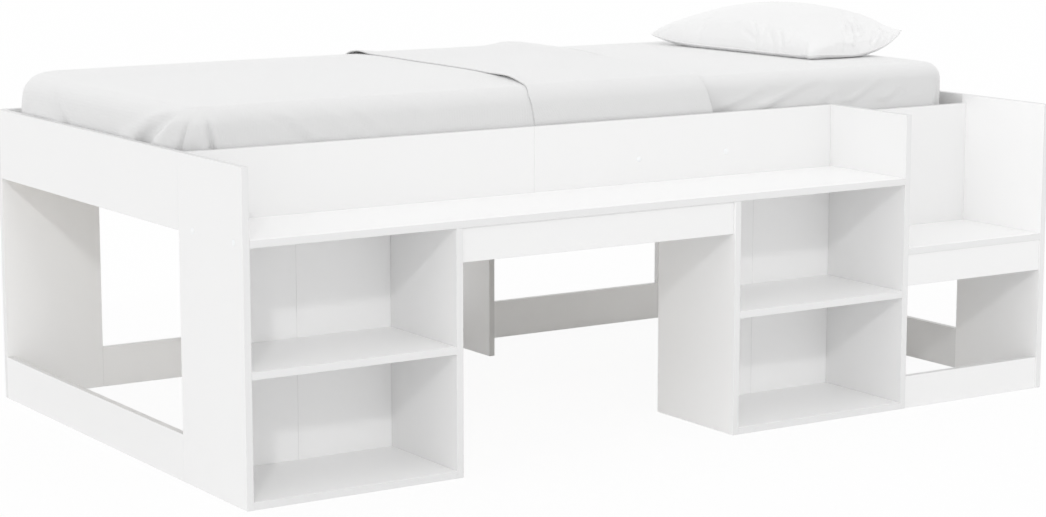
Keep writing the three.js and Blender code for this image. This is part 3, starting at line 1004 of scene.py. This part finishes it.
print("rows of the blanket:", len(blanket_rows(np.zeros(1))[0]))

# %% [markdown]
# The cloth is drawn together at the front corner of the foot. A deep gather runs up from the
# rail to the corner, smaller ones stand beside it, and a sharp pleat hides the join with the
# desk side. A few slanting wrinkles run on from there. Each is one fold in a list.

# %% Blanket: gathers at the foot
FOOT = mattress_low.x - 0.010
SIDE = mattress_low.y - 0.010
# Start, end, width at both and height at both. A negative height is a valley.
GATHERS = [
    ((FOOT, -0.122, 0.655), (FOOT, -0.288, 0.741), (0.0175, 0.0075), (-0.0170, -0.0085)),
    ((FOOT, -0.050, 0.655), (FOOT, -0.255, 0.742), (0.0240, 0.0100), (0.0075, 0.0035)),
    ((FOOT, -0.196, 0.655), (FOOT, -0.282, 0.722), (0.0200, 0.0090), (0.0085, 0.0035)),
    ((-0.9985, -0.283, 0.655), (-0.990, -0.297, 0.714), (0.0070, 0.0040), (-0.0085, -0.0045)),
    ((-0.985, -0.302, 0.655), (-0.974, -0.312, 0.722), (0.0120, 0.0080), (0.0060, 0.0020)),
    ((FOOT, 0.258, 0.655), (FOOT, 0.350, 0.738), (0.0150, 0.0100), (-0.0060, -0.0030)),
    ((FOOT, 0.350, 0.655), (FOOT, 0.420, 0.705), (0.0550, 0.0400), (0.0080, 0.0040)),
]
PLEATS = [
    ((-0.9475, SIDE, 0.655), (-0.957, -0.321, 0.724), (0.0070, 0.0036), (-0.0120, -0.0065)),
    ((-0.968, -0.316, 0.655), (-0.966, -0.317, 0.718), (0.0100, 0.0070), (0.0050, 0.0020)),
    ((-0.930, SIDE, 0.655), (-0.948, SIDE, 0.728), (0.0100, 0.0060), (0.0040, 0.0020)),
]
WRINKLES = [
    ((-0.900, SIDE, 0.724), (-0.860, SIDE, 0.672), (0.0160, 0.0200), (-0.0010, -0.0022)),
    ((-0.843, SIDE, 0.736), (-0.741, SIDE, 0.664), (0.0070, 0.0110), (-0.0022, -0.0042)),
    ((-0.810, SIDE, 0.736), (-0.712, SIDE, 0.664), (0.0090, 0.0110), (0.0014, 0.0034)),
    ((-0.712, SIDE, 0.724), (-0.668, SIDE, 0.672), (0.0070, 0.0100), (-0.0010, -0.0028)),
    ((-0.690, SIDE, 0.730), (-0.636, SIDE, 0.676), (0.0080, 0.0100), (0.0010, 0.0028)),
    ((-0.657, SIDE, 0.732), (-0.592, SIDE, 0.678), (0.0070, 0.0100), (-0.0008, -0.0026)),
    ((-0.640, SIDE, 0.730), (-0.566, SIDE, 0.676), (0.0080, 0.0100), (0.0008, 0.0022)),
    ((-0.544, SIDE, 0.736), (-0.480, SIDE, 0.690), (0.0080, 0.0110), (-0.0004, -0.0016)),
    ((-0.483, SIDE, 0.722), (-0.434, SIDE, 0.676), (0.0090, 0.0110), (0.0006, 0.0016)),
    ((-0.347, SIDE, 0.735), (-0.322, SIDE, 0.691), (0.0090, 0.0110), (-0.0004, -0.0014)),
]
print("folds in the blanket:", len(GATHERS + PLEATS + WRINKLES))

# %% Blanket: lay it on the bed
SIDE_LIFT = 0.0125
WALL_LOFT = 0.006
LOFT_RISE = (0.15, 0.40)
LOFT_FADE = (0.16, 0.34)
BLANKET_RIPPLE = {"pitch": 0.43, "height": 0.0008, "seed": 8}


def make_blanket():
    v, limit = columns(BLANKET_SKIRT)
    u_grid, lift, thread = blanket_rows(v)
    v_grid = np.broadcast_to(v, u_grid.shape)
    past_end = np.abs(u_grid) - half_length
    past_side = np.abs(v_grid) - half_width
    hang = smooth(np.maximum(past_end, past_side) + MATTRESS_EDGE, 0, 2 * bend_length)
    loft = smooth(v_grid, *LOFT_RISE) * (1 - smooth(u_grid, *LOFT_FADE))
    lift = lift + (SIDE_LIFT - BLANKET_LIFT) * hang + WALL_LOFT * loft
    points, normals = lay_cloth(u_grid, v_grid)
    outer = points + normals * lift[..., None]
    push = ripple(points, **BLANKET_RIPPLE)
    for start, end, width, height in GATHERS + PLEATS + WRINKLES:
        push = push + fold(outer, start, end, width, height)
    points = hold_within(lift + push, BLANKET_CLOSE, points, normals)
    piece = make_cloth("blanket", points, thread, v_grid, blanket_cotton, BLANKET_THICKNESS)
    return piece, (2 * limit, float(np.ptp(thread)))


blanket, blanket_flat = make_blanket()
print("blanket, cut size:", [round(s, 2) for s in blanket_flat])

# %% [markdown]
# The pillow is a sewn bag with soft filling. It starts as two faces that meet in a seam with
# four drawn-out tips, a little too thin and with slack cloth. A cloth simulation with pressure
# inside then swells it, and a cap on the movement keeps it in its place. Last, it is set down:
# the seam rises to a tip at the wall and one at the head, and the underside is flattened where
# it lies on the sheet. Its mesh is closer near the seam, where the faces turn down steeply.

# %% Pillow: sizes of the bag
PILLOW_SIZE = (0.291, 0.596)
PILLOW_SHIFT = (-0.001, 0.022)
PILLOW_STEPS = (64, 128)
RIM_CLOSENESS = 0.7
PILLOW_DRAW_IN = (0.05, 0.025)
PILLOW_TOP = 0.079
PILLOW_BELOW = 0.022
PILLOW_FULLNESS = 0.40
UNDERSIDE_FULLNESS = 0.8
# The bag runs out thinner towards the tip at the head.
HEAD_SLIMNESS = 0.14
SLIMMER_ALONG = (-0.2, 0.8)
SLIMMER_ACROSS = (0, 0.5)
PILLOW_TURN = math.radians(3.4)
# The seam lies low along the desk side and the foot side, and its tips bend up from there. The
# tip at the head bends more suddenly along the desk side than further in.
PILLOW_SEAM_LEVEL = 0.0062
HEAD_TIP = 0.0475
HEAD_TIP_BEND = (7.2, 2.2)
FURTHER_IN = (-1, -0.5)
WALL_TIP = 0.0162
WALL_TIP_BEND = 12
# Near its middle, the seam on the desk side sags on to the sheet.
SEAM_SAG = 0.0045
SAG_REACH = 0.4
SAG_ACROSS = (0.5, 1)
# How much two corners are blunted: the near one, at the foot and the desk side, and the hidden one
PILLOW_BLUNT = {(-1, -1): 0.06, (1, 1): 0.08}
BLUNT_POWER = 3

pillow_low, pillow_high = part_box("pillow")
pillow_centre = (pillow_low + pillow_high) / 2
print("pillow bag, along and across the bed:", PILLOW_SIZE, "m")

# %% Pillow: the sewn bag
def closer_at_rim(steps):
    even = np.linspace(-1, 1, steps + 1)
    return RIM_CLOSENESS * np.sin(even * math.pi / 2) + (1 - RIM_CLOSENESS) * even


def pillow_grid():
    """Places on the bag as shares from -1 to 1, top face first, and the faces between them."""
    steps_u, steps_v = PILLOW_STEPS
    u, v = np.meshgrid(closer_at_rim(steps_u), closer_at_rim(steps_v), indexing="ij")
    top = np.arange(u.size).reshape(u.shape)
    inner = np.zeros(u.shape, bool)
    inner[1:-1, 1:-1] = True
    below = top.copy()
    below[inner] = u.size + np.arange(inner.sum())
    faces = np.concatenate([quads(top), quads(below)[:, ::-1]])
    shares = np.stack([u, v], -1)
    place = np.concatenate([shares.reshape(-1, 2), shares[inner]])
    side = np.concatenate([np.ones(u.size), -np.ones(inner.sum())])
    rim = np.concatenate([top[:-1, 0], top[-1, :-1], top[:0:-1, -1], top[0, :0:-1]])
    return place, side, faces, rim


def pillow_bag(place, side):
    u, v = place.T
    x = PILLOW_SIZE[0] / 2 * u * (1 - PILLOW_DRAW_IN[0] * (1 - v * v))
    y = PILLOW_SIZE[1] / 2 * v * (1 - PILLOW_DRAW_IN[1] * (1 - u * u))
    pull = np.zeros(len(u))
    for (side_u, side_v), share in PILLOW_BLUNT.items():
        near_u = np.clip(side_u * u, 0, 1) ** BLUNT_POWER
        pull += share * near_u * np.clip(side_v * v, 0, 1) ** BLUNT_POWER
    slimness = HEAD_SLIMNESS * smooth(u, *SLIMMER_ALONG) * smooth(-v, *SLIMMER_ACROSS)
    across = (1 - v * v) ** (PILLOW_FULLNESS + slimness)
    top = PILLOW_TOP * (1 - u * u) ** PILLOW_FULLNESS * across
    below = -PILLOW_BELOW * ((1 - u * u) * (1 - v * v)) ** UNDERSIDE_FULLNESS
    return np.stack([x * (1 - pull), y * (1 - pull), np.where(side > 0, top, below)], -1)


bag_place, bag_side, bag_faces, bag_rim = pillow_grid()
bag_points = pillow_bag(bag_place, bag_side)
print("pillow bag:", len(bag_points), "points")

# %% Pillow: swell it with a cloth simulation
PILLOW_PRESSURE = 4.0
PILLOW_SLACK = 0.035
PILLOW_FRAMES = 20
CLOTH_QUALITY = 8
CLOTH_MASS = 0.3
PILLOW_MOVE_CAP = 0.012
# The sheet below holds the underside back.
UNDERSIDE_SWELL = 0.3


def swell(points, faces, side):
    mesh = new_mesh("pillow_trial", points, faces)
    trial = add_object("pillow_trial", mesh)
    cloth = trial.modifiers.new("cloth", "CLOTH").settings
    cloth.quality = CLOTH_QUALITY
    cloth.mass = CLOTH_MASS
    cloth.use_pressure = True
    cloth.uniform_pressure_force = PILLOW_PRESSURE
    cloth.shrink_min = -PILLOW_SLACK
    cloth.effector_weights.gravity = 0
    scene = bpy.context.scene
    for step in range(1, PILLOW_FRAMES + 1):
        scene.frame_set(step)
    seen = trial.evaluated_get(bpy.context.evaluated_depsgraph_get())
    moved = np.zeros(len(points) * 3)
    seen.data.vertices.foreach_get("co", moved)
    scene.frame_set(1)
    bpy.data.objects.remove(trial)
    shift = moved.reshape(-1, 3) - points
    shift[side < 0, 2] *= UNDERSIDE_SWELL
    distance = np.linalg.norm(shift, axis=1)
    capped = PILLOW_MOVE_CAP * np.tanh(distance / PILLOW_MOVE_CAP)
    print("pillow swelled by up to", round(float(distance.max()) * 1000), "mm before the cap")
    return points + shift * (capped / np.maximum(distance, TINY))[:, None]


bag_points = swell(bag_points, bag_faces, bag_side)
print("pillow bag, thickness:", round(float(np.ptp(bag_points[:, 2])), 3), "m")

# %% Pillow: lay it on the sheet
def lay_pillow(points, place):
    u, v = place.T
    towards_head, towards_wall = (u + 1) / 2, (v + 1) / 2
    at_side, further_in = HEAD_TIP_BEND
    head_bend = at_side + (further_in - at_side) * smooth(v, *FURTHER_IN)
    seam = PILLOW_SEAM_LEVEL + HEAD_TIP * towards_head**head_bend
    seam = seam + WALL_TIP * towards_wall**WALL_TIP_BEND
    seam = seam - SEAM_SAG * np.exp(-((u / SAG_REACH) ** 2)) * smooth(-v, *SAG_ACROSS)
    x = points[:, 0] * math.cos(PILLOW_TURN) - points[:, 1] * math.sin(PILLOW_TURN)
    y = points[:, 0] * math.sin(PILLOW_TURN) + points[:, 1] * math.cos(PILLOW_TURN)
    z = np.maximum(points[:, 2] + seam, 0)
    corner = (pillow_centre.x + PILLOW_SHIFT[0], pillow_centre.y + PILLOW_SHIFT[1], pillow_low.z)
    return np.stack([x, y, z], -1) + corner


pillow_points = lay_pillow(bag_points, bag_place)
print("pillow height:", round(float(np.ptp(pillow_points[:, 2])), 3), "m")

# %% [markdown]
# Small creases run in from the seam where the case is pulled: a group of them near the raised
# tip at the head, and a few along the foot side. They need a finer mesh than the simulation, so
# every face is divided in four first. Each point carries its place on the bag along, and the
# creases are placed by that, in metres from the middle of the bag.

# %% Pillow: creases
# Start and end, each towards the head and towards the wall, then width and height
PILLOW_CREASES = [
    ((0.067, -0.182), (0.006, -0.260), 0.0050, -0.0034),
    ((0.040, -0.194), (0.013, -0.244), 0.0050, 0.0024),
    ((-0.006, -0.256), (-0.025, -0.295), 0.0055, -0.0028),
    ((0.046, -0.222), (0.000, -0.289), 0.0045, 0.0034),
    ((0.058, -0.217), (0.024, -0.262), 0.0035, -0.0034),
    ((0.078, -0.202), (0.038, -0.260), 0.0045, 0.0034),
    ((0.067, -0.229), (0.044, -0.258), 0.0040, -0.0032),
    ((0.080, -0.230), (0.054, -0.264), 0.0045, -0.0032),
    ((0.040, -0.262), (0.036, -0.274), 0.0050, 0.0030),
    ((0.010, -0.283), (0.025, -0.295), 0.0060, -0.0030),
    ((0.092, -0.262), (0.062, -0.292), 0.0045, -0.0040),
    ((0.100, -0.270), (0.072, -0.292), 0.0045, 0.0034),
    ((0.113, -0.258), (0.106, -0.280), 0.0040, -0.0034),
    ((0.117, -0.274), (0.107, -0.294), 0.0040, -0.0030),
    ((0.124, -0.288), (0.112, -0.296), 0.0050, 0.0026),
    ((0.116, -0.190), (0.123, -0.226), 0.0140, 0.0034),
    ((0.117, -0.262), (0.128, -0.280), 0.0090, -0.0044),
    ((-0.104, -0.034), (-0.130, -0.066), 0.0050, -0.0020),
    ((-0.108, -0.050), (-0.132, -0.078), 0.0045, 0.0014),
    ((-0.120, -0.086), (-0.140, -0.099), 0.0050, -0.0018),
    ((-0.130, -0.018), (-0.142, -0.074), 0.0045, -0.0022),
    ((-0.128, -0.114), (-0.143, -0.138), 0.0050, -0.0020),
    ((-0.122, -0.148), (-0.143, -0.172), 0.0050, -0.0022),
    ((-0.114, -0.158), (-0.138, -0.184), 0.0045, 0.0014),
    ((-0.128, 0.139), (-0.143, 0.136), 0.0060, -0.0014),
]
print("pillow creases:", len(PILLOW_CREASES))

# %% Pillow: finer mesh
SOFT_CORNER = (0.0225, 0.075)
SOFTENING = 40
SOFT_STEP = 0.5


def read_vectors(collection, field):
    values = np.zeros(len(collection) * 3)
    collection.foreach_get(field, values)
    return values.reshape(-1, 3)


def keep_sharp(mesh, rim):
    """Tell the subdivision to leave the edges of the seam where they are."""
    on_rim = set(rim.tolist())
    sharp = [set(edge.vertices) <= on_rim for edge in mesh.edges]
    mesh.attributes.new("crease_edge", "FLOAT", "EDGE").data.foreach_set("value", sharp)


def soften_corner(piece, distances):
    """Round the corner at the desk side and the foot, where two steep sides meet."""
    group = piece.vertex_groups.new(name="soft_corner")
    for index, share in enumerate(1 - smooth(distances, *SOFT_CORNER)):
        if share > 0:
            group.add([index], float(share), "REPLACE")
    soften = piece.modifiers.new("soften", "SMOOTH")
    soften.factor = SOFT_STEP
    soften.iterations = SOFTENING
    soften.vertex_group = group.name


def refine(points, faces, place, side, rim):
    """The bag with each face divided in four, and the place and side of each new point."""
    mesh = new_mesh("pillow_case", points, faces)
    keep_sharp(mesh, rim)
    places = mesh.attributes.new("place", "FLOAT_VECTOR", "POINT")
    metric = np.column_stack([place * np.array(PILLOW_SIZE) / 2, side])
    places.data.foreach_set("vector", metric.astype(np.float32).ravel())
    coarse = add_object("pillow_trial", mesh)
    finer = coarse.modifiers.new("finer", "SUBSURF")
    finer.levels = 1
    soften_corner(coarse, np.linalg.norm(metric[:, :2] - metric[0, :2], axis=1))
    seen = coarse.evaluated_get(bpy.context.evaluated_depsgraph_get())
    refined = bpy.data.meshes.new_from_object(seen)
    bpy.data.objects.remove(coarse)
    return refined, read_vectors(refined.attributes["place"].data, "vector")


pillow_mesh, crease_places = refine(pillow_points, bag_faces, bag_place, bag_side, bag_rim)
print("points in the pillow case:", len(crease_places))

# %% Pillow: press in the creases and add the welt
WELT_RADIUS = 0.0013


def crease(mesh, places):
    """Creases in the top face, pushed in or out along its normal."""
    push = np.zeros(len(places))
    for start, end, width, height in PILLOW_CREASES:
        push += fold(places[:, :2], start, end, (width, width), (height, height))
    push *= smooth(places[:, 2], -1, 1)
    normals = read_vectors(mesh.vertex_normals, "vector")
    points = read_vectors(mesh.vertices, "co") + normals * push[:, None]
    mesh.vertices.foreach_set("co", points.ravel())
    mesh.update()


crease(pillow_mesh, crease_places)
pillow = make_object("pillow_case", pillow_mesh, pillow_cotton, "pillow")
seam = read_vectors(pillow_mesh.vertices, "co")[bag_rim]
welt_mesh = loop_tube("pillow_welt", seam, WELT_RADIUS)
make_object("pillow_welt", welt_mesh, pillow_cotton)
print("points along the welt:", len(seam))

# %% [markdown]
# The visual model is meant to stay the size of the imported bed. Both boxes are printed, so
# that they can be set side by side.

# %% Print the sizes of both boxes
visual_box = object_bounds()
boxes = {"cad": cad_box, "visual": visual_box}
for name, (lowest, highest) in boxes.items():
    print(name, [round(c, 4) for c in lowest], [round(c, 4) for c in highest])
